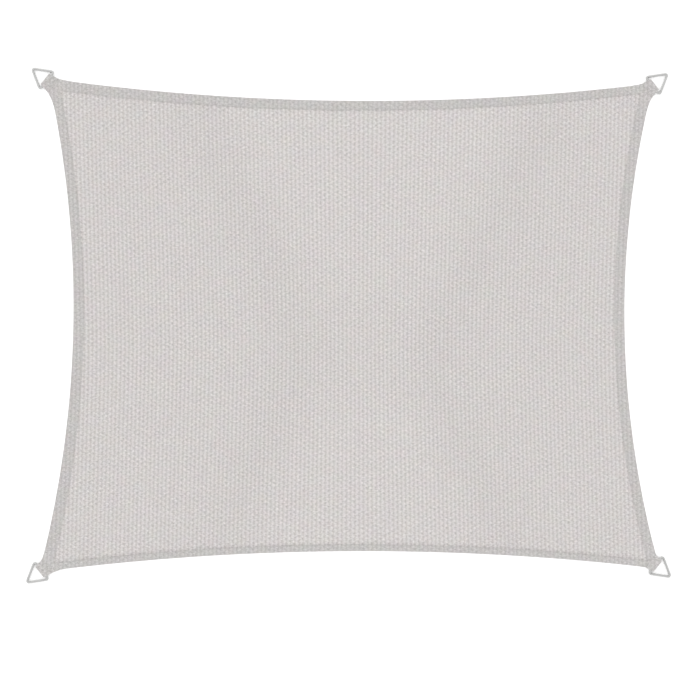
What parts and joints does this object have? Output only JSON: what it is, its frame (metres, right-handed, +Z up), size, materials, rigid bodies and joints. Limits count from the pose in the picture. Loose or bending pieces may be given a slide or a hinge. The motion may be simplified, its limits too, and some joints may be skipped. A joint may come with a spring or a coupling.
{
  "type": "shade sail",
  "caption": "Rectangular knitted sun shade sail with hemmed edges that bow inwards and a wire triangle ring at each corner, lying flat.",
  "frame": {"origin": "middle of the whole object's footprint, on the surface that it lies on", "axes": "+X along the sail's long side, +Y across it, +Z up out of the surface, towards the sail's face"},
  "size_m": [2.6605, 2.128, 0.0129],
  "materials": {
    "knitted_cloth": "warm light grey knitted polyethylene, matt, with vertical ribs",
    "steel_wire": "stainless steel wire, satin"
  },
  "bodies": {
    "root": {"sail_cloth": "knitted_cloth", "ring_top_left": "steel_wire", "ring_top_right": "steel_wire", "ring_bottom_left": "steel_wire", "ring_bottom_right": "steel_wire"}
  },
  "joints": []
}
